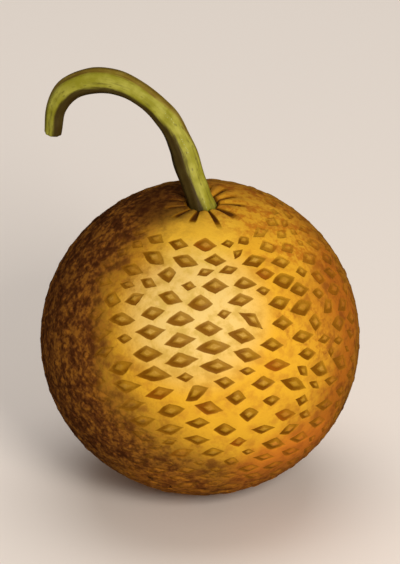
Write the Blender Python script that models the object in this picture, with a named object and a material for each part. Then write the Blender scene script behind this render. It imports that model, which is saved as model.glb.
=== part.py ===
"""Breadfruit, as picked: one round fruit standing on its small flat spot, with its bent stalk on top.

Lengths are in metres, +Z is up, and the origin is the centre of the flat spot that the fruit rests on.
The fruit is one solid and the stalk is another, seated in a shallow socket at the fruit's crown.
"""

import math

import bmesh
import bpy
from mathutils import Matrix, Vector

MM = 0.001

# The fruit is a ball, a little wider than it is tall, with its lower pole worn to a flat spot.
FRUIT_RADIUS = 75.0 * MM
FRUIT_HALF_HEIGHT = 74.2 * MM
REST_SPOT_RADIUS = 17.0 * MM
FRUIT_RINGS = 26
FRUIT_SIDES = 56

# No breadfruit is a true ball: the middle swells to one side and has three faint lobes.
SIDE_SWELL = 1.5 * MM
LOBE_HEIGHT = 0.5 * MM
LOBE_COUNT = 3
LOBE_TURN = math.radians(40)

# The crown sinks in around the stalk.
DIMPLE_DEPTH = 5.0 * MM
DIMPLE_WIDTH = 13.0 * MM

# The stalk rises from the crown, leans back and to -X, arches over and ends in a cut face.
# Each point gives X, Y, height above the dimple's floor, and the stalk's radius, in millimetres.
STALK_ROUTE = (
    (0.0, 0.0, 0.0, 5.7),
    (-6.2, 4.8, 17.0, 6.2),
    (-9.7, 7.8, 27.5, 5.9),
    (-16.0, 11.4, 39.5, 5.5),
    (-27.0, 15.6, 49.4, 5.3),
    (-39.2, 19.2, 54.8, 5.7),
    (-51.2, 22.0, 54.6, 6.1),
    (-61.8, 24.3, 49.4, 5.7),
    (-68.0, 25.8, 39.0, 4.8),
    (-69.8, 26.8, 25.2, 3.9),
)
STALK_SIDES = 16
STEPS_PER_STRETCH = 4
SOCKET_DEPTH = 4.0 * MM
SOCKET_GAP = 0.4 * MM
CUTTER_RISE = 8.0 * MM

# Heights that follow from the sizes above.
SPOT_ANGLE = math.asin(REST_SPOT_RADIUS / FRUIT_RADIUS)
CENTRE_HEIGHT = FRUIT_HALF_HEIGHT * math.cos(SPOT_ANGLE)
CROWN_HEIGHT = CENTRE_HEIGHT + FRUIT_HALF_HEIGHT - DIMPLE_DEPTH


def clear_scene():
    """Remove every object that the scene starts with."""
    for item in list(bpy.data.objects):
        bpy.data.objects.remove(item, do_unlink=True)


def make_material(name, colour, roughness, metallic=0.0):
    """Return a Principled BSDF material of one colour, given as linear red, green and blue."""
    material = bpy.data.materials.new(name)
    material.use_nodes = True
    shader = material.node_tree.nodes["Principled BSDF"]
    shader.inputs["Base Color"].default_value = (*colour, 1.0)
    shader.inputs["Roughness"].default_value = roughness
    shader.inputs["Metallic"].default_value = metallic
    return material


def add_object(name, bm, material=None):
    """Turn a bmesh into a smooth-shaded object and return it."""
    bmesh.ops.recalc_face_normals(bm, faces=bm.faces)
    mesh = bpy.data.meshes.new(name)
    bm.to_mesh(mesh)
    bm.free()
    mesh.shade_smooth()
    mesh.set_sharp_from_angle(angle=math.radians(40))
    if material:
        mesh.materials.append(material)
    item = bpy.data.objects.new(name, mesh)
    bpy.context.collection.objects.link(item)
    return item


def fruit_profile():
    """Return the fruit's outline in the XZ plane, from the crown down to the middle of the flat spot."""
    points = []
    for ring in range(FRUIT_RINGS + 1):
        polar = ring / FRUIT_RINGS * (math.pi - SPOT_ANGLE)
        radius = FRUIT_RADIUS * math.sin(polar)
        dimple = DIMPLE_DEPTH * math.exp(-((radius / DIMPLE_WIDTH) ** 2)) if polar < math.pi / 2 else 0.0
        points.append(Vector((radius, 0.0, CENTRE_HEIGHT + FRUIT_HALF_HEIGHT * math.cos(polar) - dimple)))
    points.append(Vector((0.0, 0.0, 0.0)))
    return points


def grown_unevenly(point):
    """Move a point of the true round body to where the uneven, grown fruit has it."""
    level = (point.z - CENTRE_HEIGHT) / FRUIT_HALF_HEIGHT
    share = 1.0 - level * level
    around = math.atan2(point.y, point.x)
    lobe = LOBE_HEIGHT * share * math.cos(LOBE_COUNT * around + LOBE_TURN)
    outward = Vector((math.cos(around), math.sin(around), 0.0)) * lobe
    return point + outward + Vector((-SIDE_SWELL * share, 0.0, 0.0))


def fruit_body():
    """Return a bmesh of the whole fruit, turned from its profile, before the socket is cut."""
    bm = bmesh.new()
    outline = [bm.verts.new(point) for point in fruit_profile()]
    edges = [bm.edges.new(pair) for pair in zip(outline, outline[1:])]
    bmesh.ops.spin(
        bm, geom=outline + edges, cent=(0, 0, 0), axis=(0, 0, 1),
        angle=math.tau, steps=FRUIT_SIDES, use_merge=True,
    )
    bmesh.ops.remove_doubles(bm, verts=bm.verts, dist=0.00001 * MM)
    on_axis = REST_SPOT_RADIUS / FRUIT_SIDES
    for vert in bm.verts:
        if math.hypot(vert.co.x, vert.co.y) > on_axis:
            vert.co = grown_unevenly(vert.co)
    return bm


def curve_point(before, start, end, after, share):
    """Return the point part way from start to end on the smooth curve through four points."""
    pull = (end - before) * share
    bend = (2.0 * before - 5.0 * start + 4.0 * end - after) * share ** 2
    settle = (3.0 * start - before - 3.0 * end + after) * share ** 3
    return 0.5 * (2.0 * start + pull + bend + settle)


def stalk_stations():
    """Return the stalk's centres, with the radius as a fourth number, from its foot to its cut end."""
    points = [Vector((x, y, z, radius)) * MM for x, y, z, radius in STALK_ROUTE]
    points = [2.0 * points[0] - points[1]] + points + [2.0 * points[-1] - points[-2]]
    stations = []
    for before, start, end, after in zip(points, points[1:], points[2:], points[3:]):
        for step in range(STEPS_PER_STRETCH):
            stations.append(curve_point(before, start, end, after, step / STEPS_PER_STRETCH))
    stations.append(points[-2])
    for station in stations:
        station.z += CROWN_HEIGHT
    rise = (stations[1] - stations[0]).to_3d().normalized()
    foot = stations[0].to_3d() - rise * SOCKET_DEPTH
    return [Vector((*foot, stations[0].w))] + stations


def stalk_headings(centres):
    """Return the direction in which the stalk runs at each of its centres."""
    ahead = centres[1:] + centres[-1:]
    behind = centres[:1] + centres[:-1]
    return [(later - earlier).normalized() for earlier, later in zip(behind, ahead)]


def stalk_body():
    """Return a bmesh of the stalk: a ring drawn along the route, with both ends closed."""
    stations = stalk_stations()
    centres = [station.to_3d() for station in stations]
    headings = stalk_headings(centres)
    upright = Vector((0.0, 0.0, 1.0)).rotation_difference(headings[0]).to_matrix().to_4x4()
    bm = bmesh.new()
    bmesh.ops.create_circle(
        bm, segments=STALK_SIDES, radius=stations[0].w,
        matrix=Matrix.Translation(centres[0]) @ upright,
    )
    ring = list(bm.edges)
    bmesh.ops.contextual_create(bm, geom=ring)
    for index in range(1, len(stations)):
        grown = bmesh.ops.extrude_edge_only(bm, edges=ring)["geom"]
        verts = [part for part in grown if isinstance(part, bmesh.types.BMVert)]
        ring = [part for part in grown if isinstance(part, bmesh.types.BMEdge)]
        turn = headings[index - 1].rotation_difference(headings[index]).to_matrix()
        widen = stations[index].w / stations[index - 1].w
        last = centres[index - 1]
        bmesh.ops.rotate(bm, verts=verts, cent=last, matrix=turn)
        bmesh.ops.scale(bm, verts=verts, vec=(widen,) * 3, space=Matrix.Translation(-last))
        bmesh.ops.translate(bm, verts=verts, vec=centres[index] - last)
    bmesh.ops.contextual_create(bm, geom=ring)
    return bm


def socket_cutter():
    """Return the hidden plug that cuts the stalk's socket, one gap larger than the stalk's foot."""
    stations = stalk_stations()
    foot = stations[0].to_3d()
    rise = (stations[1].to_3d() - foot).normalized()
    bottom = foot - rise * SOCKET_GAP
    top = foot + rise * (SOCKET_DEPTH + CUTTER_RISE)
    upright = Vector((0.0, 0.0, 1.0)).rotation_difference(rise).to_matrix().to_4x4()
    bm = bmesh.new()
    bmesh.ops.create_cone(
        bm, cap_ends=True, segments=STALK_SIDES, radius1=stations[0].w + SOCKET_GAP,
        radius2=stations[0].w + SOCKET_GAP, depth=(top - bottom).length,
        matrix=Matrix.Translation((bottom + top) / 2) @ upright,
    )
    cutter = add_object("socket_cutter", bm)
    cutter.hide_render = True
    cutter.display_type = "WIRE"
    return cutter


def build():
    """Model the fruit and its stalk."""
    clear_scene()
    skin = make_material("golden_skin", (0.660, 0.300, 0.025), roughness=0.55)
    green = make_material("green_stalk", (0.290, 0.265, 0.050), roughness=0.60)
    fruit = add_object("fruit", fruit_body(), skin)
    socket = fruit.modifiers.new("socket", "BOOLEAN")
    socket.operation = "DIFFERENCE"
    socket.object = socket_cutter()
    add_object("stalk", stalk_body(), green)


build()
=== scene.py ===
"""Looks of a whole breadfruit, as picked, standing on its flat spot with its bent stalk on top.

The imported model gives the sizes. The skin is grown cell by cell around its scales, the stalk is drawn
along its route, and both get procedural finishes. Lengths are in metres, and +Z is up.
"""

import logging
import math
import random
from dataclasses import dataclass, field
from enum import Enum
from typing import Any, Callable, Iterable, Sequence

import bmesh
import bpy
from mathutils import Matrix, Vector, kdtree, noise


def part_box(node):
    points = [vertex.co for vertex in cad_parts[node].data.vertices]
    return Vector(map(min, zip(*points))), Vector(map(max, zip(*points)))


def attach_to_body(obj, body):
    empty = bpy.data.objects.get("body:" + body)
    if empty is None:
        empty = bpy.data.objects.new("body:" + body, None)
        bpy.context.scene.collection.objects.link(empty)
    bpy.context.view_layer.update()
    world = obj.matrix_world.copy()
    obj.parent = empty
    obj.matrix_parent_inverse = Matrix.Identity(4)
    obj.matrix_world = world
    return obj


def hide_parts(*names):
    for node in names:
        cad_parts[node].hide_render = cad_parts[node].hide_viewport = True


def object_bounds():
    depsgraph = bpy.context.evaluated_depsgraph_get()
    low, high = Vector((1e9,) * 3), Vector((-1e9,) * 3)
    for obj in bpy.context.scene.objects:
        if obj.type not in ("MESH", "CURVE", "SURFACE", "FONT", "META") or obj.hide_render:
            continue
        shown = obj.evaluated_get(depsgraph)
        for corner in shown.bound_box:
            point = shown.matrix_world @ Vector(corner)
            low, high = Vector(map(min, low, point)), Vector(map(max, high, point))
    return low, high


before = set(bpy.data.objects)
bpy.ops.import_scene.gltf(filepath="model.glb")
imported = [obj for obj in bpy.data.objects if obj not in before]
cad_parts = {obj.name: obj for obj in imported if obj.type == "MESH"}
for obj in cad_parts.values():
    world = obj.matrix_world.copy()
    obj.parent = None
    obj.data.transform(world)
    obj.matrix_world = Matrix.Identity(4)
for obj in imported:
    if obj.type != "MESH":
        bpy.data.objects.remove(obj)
CAD_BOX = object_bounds()

LOG = logging.getLogger("breadfruit")
MM = 0.001
UP = Vector((0.0, 0.0, 1.0))
LOOK_DOWN = math.radians(28)
# The rows of scales look level to the camera: their axis leans back as far as the camera looks down.
ROW_AXIS = Vector((0.0, math.sin(LOOK_DOWN), math.cos(LOOK_DOWN)))
# How far a new ring is inset before its points get their places.
FIRST_INSET = 0.0001

Range = tuple[float, float]
Socket = bpy.types.NodeSocket
Layer = bmesh.types.BMLayerItem


class Tint(Enum):
    """The object's colours, as red, green and blue from 0 to 255."""

    GOLD = (242, 180, 46)
    SUNLIT = (255, 202, 62)
    PALE_GOLD = (246, 208, 124)
    KHAKI = (206, 176, 76)
    OCHRE = (206, 136, 40)
    BOUNCE_ORANGE = (240, 132, 40)
    AMBER = (190, 104, 26)
    RUSSET = (118, 63, 25)
    DEEP_BROWN = (72, 34, 10)
    RIM = (126, 74, 0)
    RIM_PALE = (162, 112, 12)
    FACET = (180, 130, 34)
    FACET_PALE = (212, 168, 78)
    FLUSH = (192, 98, 14)
    STALK = (150, 144, 34)
    STALK_PALE = (182, 176, 70)
    STALK_DARK = (56, 34, 12)
    CUT = (206, 192, 142)
    CUT_EDGE = (112, 84, 40)
    PAPER = (236, 225, 216)

    @property
    def linear(self) -> tuple[float, float, float, float]:
        """The colour as a shader socket takes it."""
        parts = [part / 255 for part in self.value]
        bent = [p / 12.92 if p <= 0.04045 else ((p + 0.055) / 1.055) ** 2.4 for p in parts]
        return (*bent, 1.0)


class Side(Enum):
    """The ways from the fruit's middle in which its colours, painted shade and painted highlights lie: +X
    is right, -Y the front, +Z up.
    """

    BACK = (0.25, 0.88, 0.10)
    LIGHT = (0.41, -0.80, 0.44)
    DUSK = (-0.55, -0.59, -0.59)
    FRONT = (0.04, -0.94, 0.34)
    CHEEK = (0.75, -0.36, 0.56)
    BLUSH_AND_HIGHLIGHT = (0.30, 0.00, 0.955)
    BLOOM = (0.25, -0.32, 0.915)
    VEIL = (0.50, -0.09, 0.86)
    LOW_RIGHT = (0.50, -0.60, -0.62)
    LOW_LEFT = (-0.20, -0.66, -0.72)
    PALE = (-0.05, -0.80, 0.60)
    SUNLIT = (-0.06, -0.36, 0.93)
    STALK_SHADOW = (-0.22, 0.02, 0.975)


def math_node(operation: str, swapped: bool = False) -> Callable[["Signal", Any], "Signal"]:
    """Make a method of Signal that adds one Math node.

    Args:
        operation: The Math node's operation.
        swapped: Whether the other number comes before the signal.

    Returns:
        The method, which takes a signal and another number and returns the node's result.
    """
    def joined(signal: "Signal", other: Any) -> "Signal":
        """Return the result of the signal and the other number."""
        first, second = (other, signal) if swapped else (signal, other)
        made = signal.nodes.add("ShaderNodeMath", {"operation": operation}, {0: first, 1: second})
        return Signal(signal.nodes, made.outputs[0])

    return joined


class Signal:
    """A number from a node's socket, on which Python's operators add Math nodes."""

    def __init__(self, nodes: "FinishNodes", socket: Socket) -> None:
        """Wrap one socket of one finish's nodes."""
        self.nodes = nodes
        self.socket = socket

    __add__, __radd__ = math_node("ADD"), math_node("ADD", swapped=True)
    __sub__, __rsub__ = math_node("SUBTRACT"), math_node("SUBTRACT", swapped=True)
    __mul__, __rmul__ = math_node("MULTIPLY"), math_node("MULTIPLY", swapped=True)
    most = math_node("MAXIMUM")

    def between(self, low: float, high: float) -> "Signal":
        """Return 0 below low, 1 above high, and a smooth rise between them."""
        made = self.nodes.add(
            "ShaderNodeMapRange", {"interpolation_type": "SMOOTHSTEP"},
            {"Value": self, "From Min": low, "From Max": high},
        )
        return Signal(self.nodes, made.outputs["Result"])


class FinishNodes:
    """A new material and the nodes that make its finish."""

    def __init__(self, name: str) -> None:
        """Start a material with an empty tree, one Principled BSDF and its output."""
        self.material = bpy.data.materials.new(name)
        self.material.use_nodes = True
        self.tree = self.material.node_tree
        self.tree.nodes.clear()
        self.shader = self.add("ShaderNodeBsdfPrincipled")
        self.add("ShaderNodeOutputMaterial", inputs={"Surface": self.shader.outputs["BSDF"]})

    def add(self, kind: str, settings: dict[str, Any] | None = None,
            inputs: dict[Any, Any] | None = None) -> bpy.types.Node:
        """Add any node.

        Args:
            kind: The node's type.
            settings: Properties of the node, set before its sockets.
            inputs: A value, a socket or a signal for each named or numbered socket.

        Returns:
            The new node.
        """
        made = self.tree.nodes.new(kind)
        for key, value in (settings or {}).items():
            setattr(made, key, value)
        for key, value in (inputs or {}).items():
            self.feed(made.inputs[key], value)
        return made

    def feed(self, socket: Socket, value: Any) -> None:
        """Link a socket or a signal into a socket, or set its constant."""
        if isinstance(value, Signal):
            value = value.socket
        if isinstance(value, Socket):
            self.tree.links.new(value, socket)
        else:
            socket.default_value = value

    def place(self) -> Socket:
        """Return the surface's place on the object."""
        return self.add("ShaderNodeTexCoord").outputs["Object"]

    def attribute(self, name: str) -> Signal:
        """Return a number that the mesh carries at each point."""
        made = self.add("ShaderNodeAttribute", {"attribute_name": name})
        return Signal(self, made.outputs["Fac"])

    def attribute_place(self, name: str) -> Socket:
        """Return a place that the mesh carries at each point."""
        return self.add("ShaderNodeAttribute", {"attribute_name": name}).outputs["Vector"]

    def stretched(self, place: Socket, scale: Sequence[float]) -> Socket:
        """Return a place with each of its axes scaled."""
        made = self.add("ShaderNodeMapping", inputs={"Vector": place, "Scale": tuple(scale)})
        return made.outputs["Vector"]

    def clouds(self, place: Socket, size: float, detail: float = 3.0,
               roughness: float = 0.5) -> Signal:
        """Return soft noise from 0 to 1.

        Args:
            place: Where the noise is read.
            size: The size of its blotches, in the units of place.
            detail: How many finer layers it has.
            roughness: How strong the finer layers are.

        Returns:
            The noise.
        """
        made = self.add(
            "ShaderNodeTexNoise", {},
            {"Vector": place, "Scale": 1 / size, "Detail": detail, "Roughness": roughness},
        )
        return Signal(self, made.outputs["Fac"])

    def dots(self, place: Socket, size: float) -> Signal:
        """Return the distance to the nearest of many scattered dots, from 0 at a dot."""
        made = self.add("ShaderNodeTexVoronoi", {}, {"Vector": place, "Scale": 1 / size})
        return Signal(self, made.outputs["Distance"])

    def away_from(self, centre: Vector, place: Socket) -> Socket:
        """Return the unit direction from a centre to each place."""
        away = self.add("ShaderNodeVectorMath", {"operation": "SUBTRACT"}, {0: place, 1: tuple(centre)})
        unit = self.add("ShaderNodeVectorMath", {"operation": "NORMALIZE"}, {0: away.outputs[0]})
        return unit.outputs[0]

    def facing(self, way: Socket, side: Side) -> Signal:
        """Return how far a direction points to one side, from -1 to 1."""
        aim = tuple(Vector(side.value).normalized())
        made = self.add("ShaderNodeVectorMath", {"operation": "DOT_PRODUCT"}, {0: way, 1: aim})
        return Signal(self, made.outputs["Value"])

    def coats(self, colour: Any, *coats: tuple[Any, Any]) -> Any:
        """Lay coats of colour over another.

        Args:
            colour: The colour below, as a tint or a socket.
            *coats: How far each coat covers, from 0 to 1, and its tint or socket.

        Returns:
            The colour on top.
        """
        for share, coat in coats:
            below, above = (end.linear if isinstance(end, Tint) else end for end in (colour, coat))
            made = self.add(
                "ShaderNodeMix", {"data_type": "RGBA", "clamp_factor": True},
                {0: share, 6: below, 7: above},
            )
            colour = made.outputs[2]
        return colour

    def surface(self, colour: Any, roughness: Any, height: Any, distance: float,
                **constants: float) -> None:
        """Finish the shader.

        Args:
            colour: The base colour.
            roughness: The roughness.
            height: The fine relief, from 0 to 1.
            distance: How deep that relief is, in metres.
            **constants: Values for the shader's other sockets, with _ for a space.
        """
        bump = self.add("ShaderNodeBump", {}, {"Height": height, "Distance": distance})
        self.feed(self.shader.inputs["Base Color"], colour)
        self.feed(self.shader.inputs["Roughness"], roughness)
        self.feed(self.shader.inputs["Normal"], bump.outputs["Normal"])
        for name, value in constants.items():
            self.feed(self.shader.inputs[name.replace("_", " ")], value)


def smooth_share(value: float, low: float, high: float) -> float:
    """Return 0 below low, 1 above high, and a smooth rise between them."""
    share = min(max((value - low) / (high - low), 0.0), 1.0)
    return share * share * (3 - 2 * share)


def add_piece(name: str, bm: bmesh.types.BMesh, material: bpy.types.Material) -> bpy.types.Object:
    """Make a smooth-shaded object from a bmesh.

    Args:
        name: The piece's name.
        bm: Its mesh, which is freed.
        material: Its finish.

    Returns:
        The new object, at the origin.
    """
    mesh = bpy.data.meshes.new(name)
    bm.to_mesh(mesh)
    bm.free()
    mesh.shade_smooth()
    mesh.materials.append(material)
    piece = bpy.data.objects.new(name, mesh)
    bpy.context.scene.collection.objects.link(piece)
    triangles = sum(len(face.vertices) - 2 for face in mesh.polygons)
    LOG.info("%s: %d triangles", name, triangles)
    return piece


@dataclass(frozen=True)
class FruitShape:
    """The uneven ball that the skin follows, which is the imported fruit's own shape."""

    radius: float
    half_height: float = 74.2 * MM
    rest_spot: float = 17.0 * MM
    spot_softness: float = 0.5 * MM
    side_swell: float = 1.5 * MM
    lobe_height: float = 0.5 * MM
    lobe_count: int = 3
    lobe_turn: float = math.radians(40)
    dimple_depth: float = 5.0 * MM
    dimple_width: float = 13.0 * MM

    @property
    def centre_height(self) -> float:
        """The height of the ball's middle above the flat spot."""
        return self.half_height * math.sqrt(1 - (self.rest_spot / self.radius) ** 2)

    @property
    def centre(self) -> Vector:
        """The ball's middle."""
        return Vector((0.0, 0.0, self.centre_height))

    @property
    def crown_height(self) -> float:
        """The height of the dimple's floor, where the stalk grows."""
        return self.centre_height + self.half_height - self.dimple_depth

    def point(self, direction: Vector) -> Vector:
        """Return the point of the bare skin that lies in a direction from the ball's middle."""
        around = math.atan2(direction.y, direction.x)
        ring = self.radius * math.hypot(direction.x, direction.y)
        dimple = 0.0
        if direction.z > 0:
            dimple = self.dimple_depth * math.exp(-((ring / self.dimple_width) ** 2))
        share = 1 - direction.z ** 2
        ring += self.lobe_height * share * math.cos(self.lobe_count * around + self.lobe_turn)
        height = self.centre_height + self.half_height * direction.z - dimple
        floor = (height + math.hypot(height, self.spot_softness)) / 2
        return Vector((ring * math.cos(around) - self.side_swell * share, ring * math.sin(around), floor))

    def normal(self, direction: Vector) -> Vector:
        """Return the way the bare skin faces in a direction from the ball's middle."""
        step = 0.01
        east = direction.orthogonal().normalized()
        north = direction.cross(east)
        slopes = []
        for way in (east, north):
            ahead, behind = ((direction + way * side).normalized() for side in (step, -step))
            slopes.append(self.point(ahead) - self.point(behind))
        return slopes[0].cross(slopes[1]).normalized()


@dataclass(frozen=True)
class ScaleStep:
    """One ring of a scale, from the skin around it to its middle.

    Attributes:
        spread: The ring's size, as a share of the scale's foot.
        lift: Its height above the skin, in metres.
        slide: How far it slips to the lower left, in metres.
        rim: How dark the scale's edge is here, from 0 to 1: brown skin, with painted shade in its groove.
        facet: How far this belongs to the scale's top, from 0 to 1.
    """

    spread: float
    lift: float
    slide: float
    rim: float
    facet: float


SCALE_STEPS = (
    ScaleStep(1.07, 0.00 * MM, 0.12 * MM, 0.00, 0.0),
    ScaleStep(1.00, -0.05 * MM, 0.14 * MM, 0.55, 0.0),
    ScaleStep(0.89, -0.26 * MM, 0.14 * MM, 1.00, 0.0),
    ScaleStep(0.73, -0.28 * MM, 0.08 * MM, 1.00, 0.0),
    ScaleStep(0.54, 0.04 * MM, 0.00 * MM, 0.95, 0.2),
    ScaleStep(0.37, 0.24 * MM, -0.10 * MM, 0.50, 0.8),
    ScaleStep(0.19, 0.30 * MM, -0.14 * MM, 0.10, 1.0),
)
SCALE_TOP = 0.32 * MM
LEANS = tuple(math.radians(degrees) for degrees in range(-24, 25, 6))
LOWER_LEFT = Vector((-0.6, -0.8))
# Each ring of the crown gives its size as a share of the whole, and its ridge and folds in millimetres.
CROWN_RINGS = (
    (0.94, 0.00, 0.30), (0.86, 0.04, 0.80), (0.78, 0.10, 1.10), (0.69, 0.20, 1.30),
    (0.61, 0.35, 1.40), (0.54, 0.50, 1.40), (0.48, 0.65, 1.30), (0.43, 0.70, 1.10),
    (0.39, 0.40, 0.80), (0.35, -0.20, 0.50), (0.29, -1.80, 0.20),
)


@dataclass
class ScaleSeed:
    """The direction in which a scale stands and how large it may be, as a share of a full one."""

    way: Vector
    size: float


@dataclass
class ScalePlan:
    """Where one scale stands on the ball and how it is shaped."""

    centre: Vector
    east: Vector
    north: Vector
    corners: list[Vector]
    shares: list[float]
    belly: float
    drawn: float
    height: float
    tone: float
    flush: float

    def outline(self, share: float, spread: float) -> Vector:
        """Return a point on the scale's diamond outline.

        Args:
            share: How far round the outline, from 0 at the east corner to 4 when back there.
            spread: The outline's size, as a share of the scale's foot.

        Returns:
            The point, in metres east and north of the scale's middle.
        """
        side = int(share) % 4
        part = share - int(share)
        straight = self.corners[side].lerp(self.corners[(side + 1) % 4], part)
        from_tip = part if side % 2 == 0 else 1 - part
        swell = self.belly * 4 * part * (1 - part) - self.drawn * math.sin(math.tau * from_tip)
        return straight * (spread * (1 + swell))


@dataclass
class BreadfruitSkin:
    """The whole outside of the fruit: its scales, the smooth skin between them and the puckered crown."""

    shape: FruitShape
    seed: int = 11
    rng: random.Random = field(init=False)
    layers: dict[str, Layer] = field(init=False)

    # How the scales are spread over the ball.
    scale_gap: float = 18.0 * MM
    row_gap: float = 8.4 * MM
    low_squeeze: float = 0.13
    squeezed_share: float = 0.6
    first_row: float = 35.0 * MM
    small_share: float = 0.26
    small_size: float = 0.68
    rounds: int = 45
    near: float = 1.2
    crowded: float = 1.15
    stagger: float = 1.155
    push: float = 0.3

    # How one scale is shaped, where a range is drawn from for each scale.
    half_width: float = 8.0 * MM
    half_tall: float = 4.0 * MM
    sizes: Range = (0.82, 1.13)
    reaches: Range = (0.88, 1.12)
    bellies: Range = (-0.02, 0.13)
    drawn_tips: Range = (-0.01, 0.05)
    heights: Range = (0.75, 1.2)
    lean_spread: float = math.radians(7)
    corner_spread: float = 0.09
    off_centre: float = 0.4
    cell_share: float = 0.91
    wobble: float = 0.10
    edge_cuts: int = 2

    # How the crown is puckered.
    crown_cuts: int = 5
    crown_reach: float = 20.0 * MM
    creases: int = 12
    crease_turn: float = math.radians(-101)

    def build(self) -> bpy.types.Object:
        """Return the finished, dressed skin."""
        self.rng = random.Random(self.seed)
        bm = bmesh.new()
        names = ("lift", "rim", "facet", "tone", "flush")
        self.layers = {name: bm.verts.layers.float.new(name) for name in names}
        seeds = self.make_seeds()
        cells = self.make_cells(bm, seeds)
        crown = max(cells, key=lambda face: face.calc_center_median().z)
        bmesh.ops.bisect_edges(bm, edges=bm.edges, cuts=self.edge_cuts)
        bmesh.ops.bisect_edges(bm, edges=crown.edges, cuts=self.crown_cuts)
        self.grow_scales(bm, [face for face in cells if face is not crown], seeds)
        self.pucker_crown(bm, crown)
        self.unfold(bm)
        self.settle(bm)
        return add_piece("breadfruit_skin", bm, SkinFinish(self.shape).material())

    def make_seeds(self) -> list[ScaleSeed]:
        """Return the scales' seeds, the crown's first, spread over the whole ball."""
        rng = self.rng
        mean_size = 1 - self.small_share * (1 - self.small_size ** 2)
        mean_size *= 1 - self.low_squeeze * self.squeezed_share
        area = 4 * math.pi * self.shape.radius ** 2
        seeds = []
        for _ in range(round(area / (self.scale_gap * self.row_gap * mean_size))):
            height, turn = rng.uniform(-1, 1), rng.uniform(0, math.tau)
            ring = math.sqrt(1 - height ** 2)
            size = self.small_size if rng.random() < self.small_share else 1.0
            seeds.append(ScaleSeed(Vector((ring * math.cos(turn), ring * math.sin(turn), height)), size))
        for _ in range(self.rounds):
            self.push_apart(seeds)
        return [ScaleSeed(UP.copy(), 1.0), *seeds]

    def squeeze(self, way: Vector) -> float:
        """Return the rows' share of their full height in a direction: 1 by the crown, less lower down."""
        return 1 - self.low_squeeze * smooth_share(-way.z, -0.55, -0.05)

    def push_apart(self, seeds: list[ScaleSeed]) -> None:
        """Move crowded seeds off each other, further along a row than across it, and off the crown."""
        ball = self.shape.radius
        tree = seed_tree(seeds)
        moves = []
        for seed in seeds:
            along, across = row_axes(seed.way)
            row_gap = self.row_gap * self.squeeze(seed.way)
            move = Vector((0.0, 0.0, 0.0))
            for _, index, _ in tree.find_range(seed.way, self.near * self.scale_gap / ball):
                gap = (seed.way - seeds[index].way) * ball
                high = gap.dot(across) / (self.stagger * row_gap)
                offset = Vector((gap.dot(along) / self.scale_gap, high))
                crowding = self.crowded - offset.length * 2 / (seed.size + seeds[index].size)
                if offset.length > 0 and crowding > 0:
                    offset *= self.push * crowding / offset.length
                    move += along * offset.x * self.scale_gap + across * offset.y * row_gap
            moves.append(move / ball)
        for seed, move in zip(seeds, moves):
            seed.way = (seed.way + move).normalized()
            clear = self.first_row / ball
            if UP.angle(seed.way) < clear:
                outwards = Vector((seed.way.x, seed.way.y, 0.0)).normalized()
                seed.way = UP * math.cos(clear) + outwards * math.sin(clear)

    def make_cells(self, bm: bmesh.types.BMesh, seeds: Sequence[ScaleSeed]) -> list[bmesh.types.BMFace]:
        """Divide the ball into one cell for each seed.

        Args:
            bm: An empty mesh.
            seeds: The scales' seeds.

        Returns:
            The cells' faces.
        """
        pull = bm.verts.layers.float.new("pull")
        for seed in seeds:
            bm.verts.new(seed.way)[pull] = 1 / seed.size ** 2
        bmesh.ops.convex_hull(bm, input=bm.verts)
        bmesh.ops.triangulate(bm, faces=bm.faces)
        middles = list(bm.verts)
        sides = list(bm.edges)
        corners = bmesh.ops.poke(bm, faces=bm.faces)["verts"]
        for corner in corners:
            near = [edge.other_vert(corner) for edge in corner.link_edges]
            weight = sum(vert[pull] for vert in near)
            corner.co = sum((vert.co * vert[pull] for vert in near), Vector()) / weight
        bmesh.ops.rotate_edges(bm, edges=sides, use_ccw=False)
        bmesh.ops.dissolve_verts(bm, verts=middles)
        return list(bm.faces)

    def plan_scale(self, face: bmesh.types.BMFace, seed: ScaleSeed) -> ScalePlan:
        """Plan the scale that fits a cell.

        Args:
            face: The cell.
            seed: The seed that the cell was made from.

        Returns:
            Its place, shape and tone.
        """
        rng = self.rng
        ball = self.shape.radius
        centre = seed.way
        east, north = row_axes(centre)
        edge = [Vector((vert.co.dot(east), vert.co.dot(north))) * ball for vert in face.verts]
        lean = max(LEANS, key=lambda angle: room_across(edge, angle)) + rng.gauss(0, self.lean_spread)
        along = unit_at(lean)
        shift = along * (reach_in_cell(edge, along) - reach_in_cell(edge, -along)) * self.off_centre
        centre = (centre * ball + east * shift.x + north * shift.y).normalized()
        east = (east * along.x + north * along.y).normalized()
        north = centre.cross(east).normalized()
        east = north.cross(centre)
        edge = [Vector((vert.co.dot(east), vert.co.dot(north))) * ball for vert in face.verts]
        size = seed.size * rng.uniform(*self.sizes)
        corners = []
        for quarter, reach in enumerate((self.half_width, self.half_tall * self.squeeze(centre)) * 2):
            way = unit_at(quarter * math.pi / 2 + rng.gauss(0, self.corner_spread))
            room = reach_in_cell(edge, way) * self.cell_share / SCALE_STEPS[0].spread
            corners.append(way * min(reach * size * rng.uniform(*self.reaches), room))
        return ScalePlan(
            centre, east, north, corners, shares_round(edge),
            belly=rng.uniform(*self.bellies), drawn=rng.uniform(*self.drawn_tips),
            height=rng.uniform(*self.heights) * size, tone=rng.uniform(-1, 1), flush=rng.random() ** 8,
        )

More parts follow.
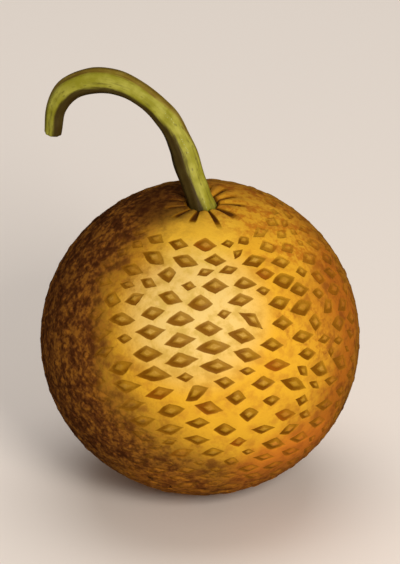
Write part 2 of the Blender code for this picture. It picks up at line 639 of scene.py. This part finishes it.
    def grow_scales(self, bm: bmesh.types.BMesh, cells: list[bmesh.types.BMFace],
                    seeds: list[ScaleSeed]) -> None:
        """Raise one scale in each cell, ring by ring towards its middle.

        Args:
            bm: The skin's mesh, as directions from the ball's middle.
            cells: The faces that get a scale.
            seeds: The seeds that the cells were made from.
        """
        tree = seed_tree(seeds)
        plans = [self.plan_scale(face, seeds[tree.find(face.calc_center_median())[1]]) for face in cells]
        ball = self.shape.radius
        for step in SCALE_STEPS:
            bmesh.ops.inset_individual(bm, faces=cells, thickness=FIRST_INSET)
            for face, plan in zip(cells, plans):
                for vert, share in zip(face.verts, plan.shares):
                    spot = plan.outline(share, step.spread)
                    # The edges get more painted shade on the lower left, the side turned away from the
                    # light.
                    lower_left_shade = 0.5 + 0.5 * spot.normalized().dot(LOWER_LEFT)
                    spot *= 1 + self.wobble * noise.noise(plan.centre * 30 + spot.to_3d() / (3 * MM))
                    spot += LOWER_LEFT * step.slide
                    vert.co = (plan.centre * ball + plan.east * spot.x + plan.north * spot.y).normalized()
                    self.mark(
                        vert, lift=step.lift * plan.height, rim=step.rim * (0.50 + 0.60 * lower_left_shade),
                        facet=step.facet, tone=plan.tone, flush=plan.flush,
                    )
        for face, plan in zip(cells, plans):
            middle = bmesh.ops.poke(bm, faces=[face])["verts"][0]
            middle.co = plan.centre.copy()
            top = SCALE_TOP * plan.height
            self.mark(middle, lift=top, rim=0.0, facet=1.0, tone=plan.tone, flush=plan.flush)
        LOG.info("breadfruit_skin: %d scales", len(cells))

    def mark(self, vert: bmesh.types.BMVert, **values: float) -> None:
        """Write a point's named values."""
        for name, value in values.items():
            vert[self.layers[name]] = value

    def pucker_crown(self, bm: bmesh.types.BMesh, crown: bmesh.types.BMFace) -> None:
        """Fold the skin into ridges and creases that run in to the stalk's foot.

        Args:
            bm: The skin's mesh.
            crown: The cell at the top.
        """
        reach = self.crown_reach / self.shape.radius
        edge = [vert.co.copy() for vert in crown.verts]
        for share, ridge, fold in CROWN_RINGS:
            bmesh.ops.inset_individual(bm, faces=[crown], thickness=FIRST_INSET)
            for vert, rim in zip(crown.verts, edge):
                flat = Vector((rim.x, rim.y))
                around = math.atan2(flat.y, flat.x)
                # The rings turn from the cell's own outline into circles as they near the stalk.
                even = flat.normalized() * reach * share
                flat = (flat * share).lerp(even, 1 - max(share - 0.5, 0) * 1.5)
                vert.co = Vector((flat.x, flat.y, math.sqrt(1 - flat.length_squared)))
                wave, depth = self.fold_at(around, share)
                lift = (ridge + fold * (0.30 * max(wave, 0.0) - 0.70 * depth)) * MM
                # The creases are darkened with painted shade, and a ring round the stalk's foot with a
                # painted contact shadow.
                foot = 1.7 * smooth_share(-share, -0.46, -0.34)
                dark = max(1.8 * depth * min(fold, 1.0), foot)
                self.mark(vert, lift=lift, rim=dark, facet=0.0, tone=0.0, flush=0.0)
        bmesh.ops.poke(bm, faces=[crown])

    def fold_at(self, around: float, share: float) -> tuple[float, float]:
        """Return how the crown is folded in one place.

        Args:
            around: The angle round the stalk.
            share: The distance from the stalk, as a share of the crown's width.

        Returns:
            The fold's wave, from -1 in a crease to 1 on a ridge, and how deep the crease is, from 0 to 1.
        """
        circle = unit_at(around).to_3d()
        turn = around - self.crease_turn + 0.10 * noise.noise(circle * 1.7)
        wave = -math.cos(self.creases * turn)
        end = 0.74 + 0.24 * smooth_share(-circle.y, -0.2, 0.7)
        end += 0.3 * noise.noise(circle * 2.3 + Vector((0.0, 0.0, 7.0)))
        depth = smooth_share(-wave, 0.35, 0.92) * smooth_share(end, share - 0.10, share + 0.14)
        return wave, depth

    def unfold(self, bm: bmesh.types.BMesh) -> None:
        """Lay the ball out flat on one square map, with its front in the middle.

        Args:
            bm: The skin's mesh, as directions from the ball's middle.
        """
        layer = bm.loops.layers.uv.new("OFBake")
        turn = Matrix((Vector((1.0, 0.0, 0.0)), ROW_AXIS, Vector((1.0, 0.0, 0.0)).cross(ROW_AXIS)))
        for face in bm.faces:
            signs = [math.copysign(1.0, part) for part in turn @ face.calc_center_median()]
            for loop in face.loops:
                loop[layer].uv = square_place(turn @ loop.vert.co.normalized(), signs)

    def settle(self, bm: bmesh.types.BMesh) -> None:
        """Move every point from the ball of directions to its place on the fruit."""
        lift_layer = self.layers["lift"]
        for vert in bm.verts:
            direction = vert.co.normalized()
            point = self.shape.point(direction)
            pressed = smooth_share(point.z, 0.3 * MM, 3.5 * MM)
            raised = point + self.shape.normal(direction) * (vert[lift_layer] * pressed)
            vert.co = Vector((raised.x, raised.y, max(raised.z, 0.0)))
        bm.verts.layers.float.remove(lift_layer)


def row_axes(way: Vector) -> tuple[Vector, Vector]:
    """Return how the rows of scales run in one place of the ball.

    Args:
        way: The place, as a direction from the ball's middle.

    Returns:
        The unit direction along the row, and the one across it.
    """
    axis = ROW_AXIS.lerp(UP, smooth_share(abs(way.z), 0.54, 0.90))
    along = axis.cross(way).normalized()
    return along, way.cross(along)


def seed_tree(seeds: Sequence[ScaleSeed]) -> kdtree.KDTree:
    """Return a search tree of the seeds' directions."""
    tree = kdtree.KDTree(len(seeds))
    for index, seed in enumerate(seeds):
        tree.insert(seed.way, index)
    tree.balance()
    return tree


def square_place(way: Vector, signs: Sequence[float]) -> tuple[float, float]:
    """Return where a direction falls on a square map on which equal areas stay equal.

    Args:
        way: The direction, in the map's own axes.
        signs: The signs of its face's direction, which keep the whole face in one corner.

    Returns:
        The place on the map, each way from 0 to 1.
    """
    x, y, z = (part * sign for part, sign in zip(way, signs))
    reach = math.sqrt(max(1 - z, 0.0))
    high = math.atan2(y, x) / (math.pi / 2) * reach
    wide = reach - high
    if signs[2] < 0:
        wide, high = 1 - high, 1 - wide
    return 0.5 + 0.48 * wide * signs[0], 0.5 + 0.48 * high * signs[1]


def unit_at(angle: float) -> Vector:
    """Return the flat unit direction at an angle."""
    return Vector((math.cos(angle), math.sin(angle)))


def room_across(edge: Sequence[Vector], angle: float) -> float:
    """Return how wide a cell is through its middle at an angle, less a little for each degree of lean."""
    along = unit_at(angle)
    return reach_in_cell(edge, along) + reach_in_cell(edge, -along) - 4 * MM * abs(angle)


def reach_in_cell(edge: Sequence[Vector], way: Vector) -> float:
    """Return how far a cell reaches from its middle.

    Args:
        edge: The cell's outline, in order.
        way: A unit direction.

    Returns:
        The distance to the outline in that direction.
    """
    side = Vector((-way.y, way.x))
    for start, end in zip(edge, [*edge[1:], edge[0]]):
        before, after = start.dot(side), end.dot(side)
        if before * after <= 0 and before != after:
            crossing = start.lerp(end, before / (before - after)).dot(way)
            if crossing > 0:
                return crossing
    return min(point.length for point in edge)


def shares_round(edge: Sequence[Vector]) -> list[float]:
    """Share out a cell's points round a four-cornered outline.

    Args:
        edge: The cell's outline, in order, counter-clockwise.

    Returns:
        How far round each point goes: 0 is the east corner, 1 the north, 2 the west and 3 the south.
    """
    count = len(edge)
    corners = []
    for quarter in range(4):
        way = unit_at(quarter * math.pi / 2)
        corners.append(max(range(count), key=lambda index: edge[index].normalized().dot(way)))
    shares = [0.0] * count
    for quarter in range(4):
        start, end = corners[quarter], corners[(quarter + 1) % 4]
        span = (end - start) % count
        for step in range(span):
            shares[(start + step) % count] = quarter + step / span
    return shares


@dataclass(frozen=True)
class SkinFinish:
    """The fruit's rind: golden, reddish brown and darkened with painted shade to the left and below, with
    brown-edged scales that carry painted shade in their grooves.
    """

    shape: FruitShape

    def material(self) -> bpy.types.Material:
        """Return the rind's material."""
        nodes = FinishNodes("golden_rind")
        place = nodes.place()
        way = nodes.away_from(self.shape.centre, place)
        blotch = nodes.clouds(place, 16 * MM, 4.0)
        patch = nodes.clouds(place, 7 * MM, 3.0, 0.6)
        fine = nodes.clouds(place, 2.2 * MM, 3.0, 0.6)
        grit = nodes.clouds(place, 1.1 * MM, 2.0, 0.6)
        mottle = patch * 0.45 + fine * 0.55
        uneven = (blotch - 0.5) * 0.30 + (fine - 0.5) * 0.25
        rim, facet = nodes.attribute("rim"), nodes.attribute("facet")
        tone, flush = nodes.attribute("tone"), nodes.attribute("flush")

        # Where the small patches of colour lie. Some are painted light and shade: a painted highlight on
        # the front, a painted sunlit patch above it, a painted shadow left of the stalk's foot, painted
        # bounce light along the lower rims, and a painted highlight in the orange blush right of the foot.
        back = nodes.facing(way, Side.BACK).between(0.20, 0.66)
        blush_and_highlight = nodes.facing(way, Side.BLUSH_AND_HIGHLIGHT).between(0.90, 0.985)
        bloom = nodes.facing(way, Side.BLOOM).between(0.78, 0.94)
        veil = nodes.facing(way, Side.VEIL).between(0.90, 0.975)
        pale = nodes.facing(way, Side.PALE).between(0.85, 1.0)
        sunlit = nodes.facing(way, Side.SUNLIT).between(0.93, 0.98)
        hollow = nodes.facing(way, Side.STALK_SHADOW).between(0.952, 0.984)
        painted_bounce = nodes.facing(way, Side.LOW_RIGHT).between(0.85, 0.97)
        painted_bounce = painted_bounce.most(nodes.facing(way, Side.LOW_LEFT).between(0.90, 0.99) * 0.8)

        # Where the skin is reddish brown, and where it is amber. The reddish brown is partly the skin's own
        # russeting and partly painted shade, darker away from the light to the left and below; the amber is
        # partly an orange tone and partly painted shade towards the edges.
        lit = (nodes.facing(way, Side.LIGHT) + uneven).between(0.31, 0.70)
        dusk = nodes.facing(way, Side.DUSK).between(0.62, 0.88)
        russet_and_shade = (1 - lit * (1 - dusk * 0.5)) * (1 - back * 0.85) * (1 - blush_and_highlight * 0.8)
        russet_and_shade = russet_and_shade * (1 - bloom * 0.35) * (1 - painted_bounce * 0.4)
        cheek = (nodes.facing(way, Side.CHEEK) + uneven).between(0.88, 1.0)
        amber_and_edge_shade = 1 - (nodes.facing(way, Side.FRONT) + uneven).between(0.44, 0.87)
        amber_and_edge_shade = amber_and_edge_shade.most(cheek * 0.7) * (1 - bloom * 0.85) * (1 - russet_and_shade * 0.85) * (1 - back * 0.8)

        # The skin between the scales, with a painted sunlit patch and a painted highlight on its front.
        colour = nodes.coats(
            Tint.GOLD,
            (patch.between(0.42, 0.68) * 0.6, Tint.OCHRE),
            (sunlit * 0.75, Tint.SUNLIT),
            (pale * patch.between(0.40, 0.60) * 0.7, Tint.KHAKI),
            (pale * (1 - patch.between(0.42, 0.64) * 0.7), Tint.PALE_GOLD),
            (amber_and_edge_shade * 0.93, Tint.AMBER),
            (patch.between(0.48, 0.66) * (amber_and_edge_shade * 0.45 + russet_and_shade * 0.3), Tint.RUSSET),
        )

        # The scales' tops, which fade under the reddish brown and its painted shade, and the mottling over
        # both, with painted bounce light on the lower rims and a painted shadow left of the stalk's foot.
        top = nodes.coats(
            Tint.FACET,
            (grit.between(0.4, 0.7) * 0.6 + tone * 0.3, Tint.FACET_PALE),
            (amber_and_edge_shade * 0.6, Tint.AMBER),
        )
        shown = (1 - russet_and_shade) * (1 - amber_and_edge_shade * 0.55) * (1 - veil * 0.65)
        colour = nodes.coats(
            colour,
            (facet * 0.85 * shown, top),
            (painted_bounce * 0.7, Tint.BOUNCE_ORANGE),
            (russet_and_shade * 0.95, Tint.RUSSET),
            (blush_and_highlight.most(veil) * mottle.between(0.44, 0.60) * 0.6, Tint.FLUSH),
            ((1 - mottle.between(0.38, 0.52)) * russet_and_shade * 0.45, Tint.OCHRE),
            (mottle.between(0.44, 0.62) * (russet_and_shade * 0.85 + amber_and_edge_shade * 0.2), Tint.DEEP_BROWN),
            (hollow * (mottle * 0.5 + 0.42), Tint.DEEP_BROWN),
        )

        # The scales' edges and the crown's creases: brown edges with painted shade in their grooves,
        # painted shade in the creases, and a painted contact shadow round the stalk's foot.
        edge = rim * (0.75 + fine * 0.5)
        brown_and_shade = (0.2 + shown * 0.8) * (1 - pale * 0.2)
        blushed = flush.between(0.3, 0.8) * facet.most(rim) * shown
        colour = nodes.coats(
            colour,
            (edge.between(0.08, 0.42) * shown * 0.85, Tint.RIM_PALE),
            (edge.between(0.40, 0.95) * brown_and_shade, Tint.RIM),
            (rim.between(1.12, 1.60) * 0.8, Tint.DEEP_BROWN),
            (blushed * (1 - pale) * 0.4, Tint.FLUSH),
        )

        nodes.surface(
            colour, 0.46 + fine * 0.12 + rim * 0.25, fine * 0.6 + grit * 0.4, 0.25 * MM,
            Coat_Weight=0.03, Coat_Roughness=0.35, Specular_IOR_Level=0.06,
        )
        return nodes.material


# Each ring of the cut face gives its size as a share of the whole, its rise in millimetres, and how
# far it is bare wood.
CUT_RINGS = (
    (0.95, 0.25, 0.5), (0.86, 0.18, 1.0), (0.70, -0.15, 1.0), (0.45, -0.05, 1.0), (0.22, -0.35, 1.0),
)


@dataclass
class BreadfruitStalk:
    """The bent stalk, from its foot in the crown to the face where it was cut from the branch.

    Each point of its route gives X, Y, height above the crown's floor, and the radius, in millimetres.
    """

    shape: FruitShape
    route: tuple[tuple[float, float, float, float], ...] = (
        (0.0, 0.0, 0.0, 5.7),
        (-6.2, 4.8, 17.0, 6.2),
        (-9.7, 7.8, 27.5, 5.9),
        (-16.0, 11.4, 39.5, 5.5),
        (-27.0, 15.6, 49.4, 5.3),
        (-39.2, 19.2, 54.8, 5.7),
        (-51.2, 22.0, 54.6, 6.1),
        (-61.8, 24.3, 49.4, 5.7),
        (-68.0, 25.8, 39.0, 4.8),
        (-69.8, 26.8, 25.2, 3.9),
    )
    sides: int = 56
    steps: int = 14
    sunk: float = 3.0 * MM
    flare: float = 0.16
    flare_reach: float = 9.0 * MM
    swell: float = 0.05
    ribs: int = 9
    rib_height: float = 0.16 * MM
    shaded_way: Sequence[float] = (0.0, -0.45, -0.50)
    grain: Layer = field(init=False)
    cut: Layer = field(init=False)
    inner: Layer = field(init=False)

    def build(self) -> bpy.types.Object:
        """Return the finished, dressed stalk."""
        stations = self.stations()
        centres = [station.to_3d() for station in stations]
        headings = self.headings(centres)
        bm = bmesh.new()
        self.grain = bm.verts.layers.float_vector.new("grain")
        self.cut = bm.verts.layers.float.new("cut")
        self.inner = bm.verts.layers.float.new("inner")
        upright = UP.rotation_difference(headings[0]).to_matrix().to_4x4()
        bmesh.ops.create_circle(
            bm, segments=self.sides, radius=stations[0].w, matrix=Matrix.Translation(centres[0]) @ upright,
        )
        ring = list(bm.edges)
        bmesh.ops.contextual_create(bm, geom=ring)
        rings = [list(bm.verts)]
        for index in range(1, len(stations)):
            grown = bmesh.ops.extrude_edge_only(bm, edges=ring)["geom"]
            verts = [part for part in grown if isinstance(part, bmesh.types.BMVert)]
            ring = [part for part in grown if isinstance(part, bmesh.types.BMEdge)]
            turn = headings[index - 1].rotation_difference(headings[index]).to_matrix()
            widen = stations[index].w / stations[index - 1].w
            last = centres[index - 1]
            bmesh.ops.rotate(bm, verts=verts, cent=last, matrix=turn)
            bmesh.ops.scale(bm, verts=verts, vec=(widen,) * 3, space=Matrix.Translation(-last))
            bmesh.ops.translate(bm, verts=verts, vec=centres[index] - last)
            rings.append(verts)
        end = bmesh.ops.contextual_create(bm, geom=ring)["faces"][0]
        self.shape_rings(rings, centres)
        self.finish_cut(bm, end, centres[-1], headings[-1])
        bmesh.ops.recalc_face_normals(bm, faces=bm.faces)
        return add_piece("breadfruit_stalk", bm, StalkFinish().material())

    def stations(self) -> list[Vector]:
        """Return the stalk's centres, with the radius as a fourth number, from its foot to its cut end."""
        points = [Vector(point) * MM for point in self.route]
        points = [2.0 * points[0] - points[1]] + points + [2.0 * points[-1] - points[-2]]
        found = []
        for before, start, end, after in zip(points, points[1:], points[2:], points[3:]):
            for step in range(self.steps):
                found.append(curve_point(before, start, end, after, step / self.steps))
        found.append(points[-2])
        for station in found:
            station.z += self.shape.crown_height
        rise = (found[1] - found[0]).to_3d().normalized()
        foot = found[0].to_3d() - rise * self.sunk
        return [Vector((*foot, found[0].w))] + found

    @staticmethod
    def headings(centres: list[Vector]) -> list[Vector]:
        """Return the direction in which the stalk runs at each of its centres."""
        ahead = centres[1:] + centres[-1:]
        behind = centres[:1] + centres[:-1]
        return [(later - earlier).normalized() for earlier, later in zip(behind, ahead)]

    def shape_rings(self, rings: list[list[bmesh.types.BMVert]], centres: list[Vector]) -> None:
        """Flare the foot and raise the ribs, and note each point's place along and round the stalk.

        Args:
            rings: The points of each ring, in the same order round every ring.
            centres: The middle of each ring.
        """
        along = 0.0
        middle = sum(centres, Vector((0.0, 0.0, 0.0))) / len(centres)
        for index, (ring, centre) in enumerate(zip(rings, centres)):
            inwards = ((middle - centre).normalized() + Vector(self.shaded_way)).normalized()
            along += (centre - centres[max(index - 1, 0)]).length
            wide = 1.0 + self.flare * (1 - smooth_share(along, 0.0, self.flare_reach))
            wide *= 1.0 + self.swell * noise.noise(Vector((along / (11 * MM), 2.0, 5.0)))
            turned_out = 0.28 * smooth_share(along, 30 * MM, 62 * MM)
            for vert in ring:
                arm = vert.co - centre
                around = math.tau * ring.index(vert) / len(ring)
                spot = unit_at(around)
                rib = math.cos(self.ribs * around + 6 * noise.noise(Vector((along / (60 * MM), 0.0, 1.0))))
                lump = noise.noise(Vector((*spot, along / (9 * MM))))
                rise = self.rib_height * (rib + 0.9 * lump)
                vert.co = centre + arm * wide + arm.normalized() * rise
                vert[self.grain] = Vector((*(spot * arm.length), along))
                vert[self.inner] = arm.normalized().dot(inwards) - turned_out

    def finish_cut(self, bm: bmesh.types.BMesh, end: bmesh.types.BMFace, centre: Vector,
                   heading: Vector) -> None:
        """Give the cut face its curled lip, its ring of fibres and its hollow middle.

        Args:
            bm: The stalk's mesh.
            end: The cut face.
            centre: The middle of the cut face.
            heading: The way the face looks.
        """
        edge = [(vert.co - centre, Vector(vert[self.grain])) for vert in end.verts]
        for share, rise, cut in CUT_RINGS:
            bmesh.ops.inset_individual(bm, faces=[end], thickness=FIRST_INSET)
            for index, (vert, (arm, grain)) in enumerate(zip(end.verts, edge)):
                ragged = 0.12 * noise.noise(Vector((index * 0.9, share * 7, 2.0)))
                vert.co = centre + arm * share + heading * ((rise + ragged) * MM)
                vert[self.grain] = Vector((grain.x * share, grain.y * share, grain.z))
                vert[self.cut] = cut
        middle = bmesh.ops.poke(bm, faces=[end])["verts"][0]
        middle[self.cut] = 1.0


def curve_point(before: Vector, start: Vector, end: Vector, after: Vector, share: float) -> Vector:
    """Return a point on the smooth curve through four points.

    Args:
        before: The point ahead of the stretch.
        start: Where the stretch starts.
        end: Where the stretch ends.
        after: The point past the stretch.
        share: How far from start to end, from 0 to 1.

    Returns:
        The point.
    """
    pull = (end - before) * share
    bend = (2.0 * before - 5.0 * start + 4.0 * end - after) * share ** 2
    settle = (3.0 * start - before - 3.0 * end + after) * share ** 3
    return 0.5 * (2.0 * start + pull + bend + settle)


@dataclass(frozen=True)
class StalkFinish:
    """The stalk's green bark, streaked along its length, and its paler cut end."""

    def material(self) -> bpy.types.Material:
        """Return the stalk's material."""
        nodes = FinishNodes("green_stalk")
        grain = nodes.attribute_place("grain")
        cut, inner = nodes.attribute("cut"), nodes.attribute("inner")
        streaks = nodes.clouds(nodes.stretched(grain, (1.0, 1.0, 0.12)), 1.5 * MM, 4.0, 0.6)
        blotch = nodes.clouds(grain, 7 * MM, 3.0)
        flecks = 1 - nodes.dots(nodes.stretched(grain, (1.0, 1.0, 0.45)), 1.7 * MM).between(0.12, 0.3)
        fine = nodes.clouds(grain, 0.6 * MM, 2.0)

        tanned = (0 - inner + (streaks - 0.5) * 0.4).between(0.74, 1.02)
        shaded = (inner + (streaks - 0.5) * 0.5).between(0.02, 0.38)
        face = nodes.coats(Tint.CUT, (fine.between(0.35, 0.6), Tint.CUT_EDGE), (0.6 - fine, Tint.CUT))
        colour = nodes.coats(
            Tint.STALK,
            (blotch.between(0.35, 0.7), Tint.STALK_PALE),
            (streaks.between(0.5, 0.75) * 0.6, Tint.STALK_DARK),
            (flecks * blotch.between(0.4, 0.6) * 0.5, Tint.STALK_DARK),
            (tanned * 0.55, Tint.RUSSET),
            (shaded * 0.92, Tint.STALK_DARK),
            (cut, face),
        )
        nodes.surface(
            colour, 0.5 + fine * 0.15, streaks * 0.7 + fine * 0.3, 0.35 * MM,
            Specular_IOR_Level=0.2, Coat_Weight=0.03,
        )
        return nodes.material


class Lit(Enum):
    """What a lamp shines on."""

    ALL = "all"
    PIECES = "pieces"
    FLOOR = "floor"


@dataclass(frozen=True)
class Lamp:
    """One soft square lamp, placed from the middle of the object, which it looks at."""

    name: str
    place: Sequence[float]
    size: float
    watts: float
    tint: Sequence[float]
    lit: Lit = Lit.ALL
    glossy: bool = True


WARM = (1.0, 0.90, 0.76)
LAMPS = (
    Lamp("key", (0.47, -1.12, 0.72), 0.50, 13.1, (1.0, 0.96, 0.90)),
    Lamp("fill", (0.30, -1.15, -0.02), 0.30, 3.1, (1.0, 0.94, 0.86), Lit.PIECES),
    Lamp("left_rim", (-1.00, 0.10, 0.02), 0.15, 0.6, WARM, Lit.PIECES, glossy=False),
    Lamp("right_rim", (0.80, 0.86, 0.10), 0.15, 2.2, WARM, Lit.PIECES, glossy=False),
    Lamp("wash", (0.0, 0.6, 1.6), 1.6, 17.5, (0.95, 0.98, 1.0), Lit.FLOOR),
)


@dataclass
class Studio:
    """The plain floor, the soft lights and the camera around the fruit."""

    box: tuple[Vector, Vector]
    pieces: list[bpy.types.Object]
    floor_reach: float = 6.0
    glow_tint: Sequence[float] = (1.0, 0.93, 0.84, 1.0)
    glow_strength: float = 0.265
    elevation: float = LOOK_DOWN
    lens: float = 500.0
    sensor: float = 36.0
    frame_share: float = 0.80
    image: tuple[int, int] = (400, 564)

    @property
    def centre(self) -> Vector:
        """The middle of the whole object."""
        return (self.box[0] + self.box[1]) / 2

    def build(self) -> None:
        """Make the floor, the lights, the world's glow and the camera."""
        targets = {Lit.ALL: [], Lit.PIECES: self.pieces, Lit.FLOOR: [self.make_floor()]}
        for lamp in LAMPS:
            self.hang(lamp, targets[lamp.lit])
        world = bpy.data.worlds.new("soft_room")
        world.use_nodes = True
        glow = world.node_tree.nodes["Background"]
        glow.inputs["Color"].default_value = self.glow_tint
        glow.inputs["Strength"].default_value = self.glow_strength
        world.cycles_visibility.glossy = False
        bpy.context.scene.world = world
        bpy.context.scene.view_settings.view_transform = "Standard"
        self.make_camera()

    def make_floor(self) -> bpy.types.Object:
        """Return a plain pale floor that reaches past the camera's view."""
        nodes = FinishNodes("plain_floor")
        fine = nodes.clouds(nodes.place(), 4 * MM, 2.0)
        nodes.surface(Tint.PAPER.linear, 0.85, fine, 0.02 * MM, Specular_IOR_Level=0.2)
        bm = bmesh.new()
        bmesh.ops.create_grid(bm, x_segments=1, y_segments=1, size=self.floor_reach)
        floor = add_piece("floor", bm, nodes.material)
        floor.visible_diffuse = False
        floor.visible_glossy = False
        return floor

    def hang(self, lamp: Lamp, targets: Sequence[bpy.types.Object]) -> None:
        """Hang one lamp.

        Args:
            lamp: The lamp.
            targets: The only objects that it lights, or nothing where it lights them all.
        """
        light = bpy.data.lights.new(lamp.name, "AREA")
        light.shape = "SQUARE"
        light.size = lamp.size
        light.energy = lamp.watts
        light.color = lamp.tint
        place = Vector(lamp.place)
        holder = bpy.data.objects.new(lamp.name, light)
        holder.location = self.centre + place
        holder.rotation_euler = (-place).to_track_quat("-Z", "Y").to_euler()
        holder.visible_glossy = lamp.glossy
        bpy.context.scene.collection.objects.link(holder)
        if targets:
            lit = bpy.data.collections.new(f"lit_by_{lamp.name}")
            for piece in targets:
                lit.objects.link(piece)
            holder.light_linking.receiver_collection = lit

    def make_camera(self) -> None:
        """Stand the camera in front of the fruit, looking down on it, so that the fruit fills the frame."""
        data = bpy.data.cameras.new("camera")
        data.lens = self.lens
        data.sensor_width = self.sensor
        width = self.box[1].x - self.box[0].x
        half_frame = self.sensor / 2 / self.lens * self.image[0] / self.image[1]
        distance = width / 2 / (half_frame * self.frame_share)
        back = Vector((0.0, -math.cos(self.elevation), math.sin(self.elevation)))
        camera = bpy.data.objects.new("camera", data)
        camera.location = self.centre + back * distance
        camera.rotation_euler = (-back).to_track_quat("-Z", "Y").to_euler()
        bpy.context.scene.collection.objects.link(camera)
        bpy.context.scene.camera = camera


def attach(piece: bpy.types.Object, node: str) -> None:
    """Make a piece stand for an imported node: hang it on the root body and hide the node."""
    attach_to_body(piece, "root")
    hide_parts(node)


def main() -> None:
    """Build the fruit, its stalk and the studio."""
    logging.basicConfig(level=logging.INFO)
    lowest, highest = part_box("fruit")
    shape = FruitShape(radius=(highest.y - lowest.y) / 2)
    skin, stalk = BreadfruitSkin(shape).build(), BreadfruitStalk(shape).build()
    attach(skin, "fruit")
    attach(stalk, "stalk")
    Studio(CAD_BOX, [skin, stalk]).build()


if __name__ == "__main__":
    main()
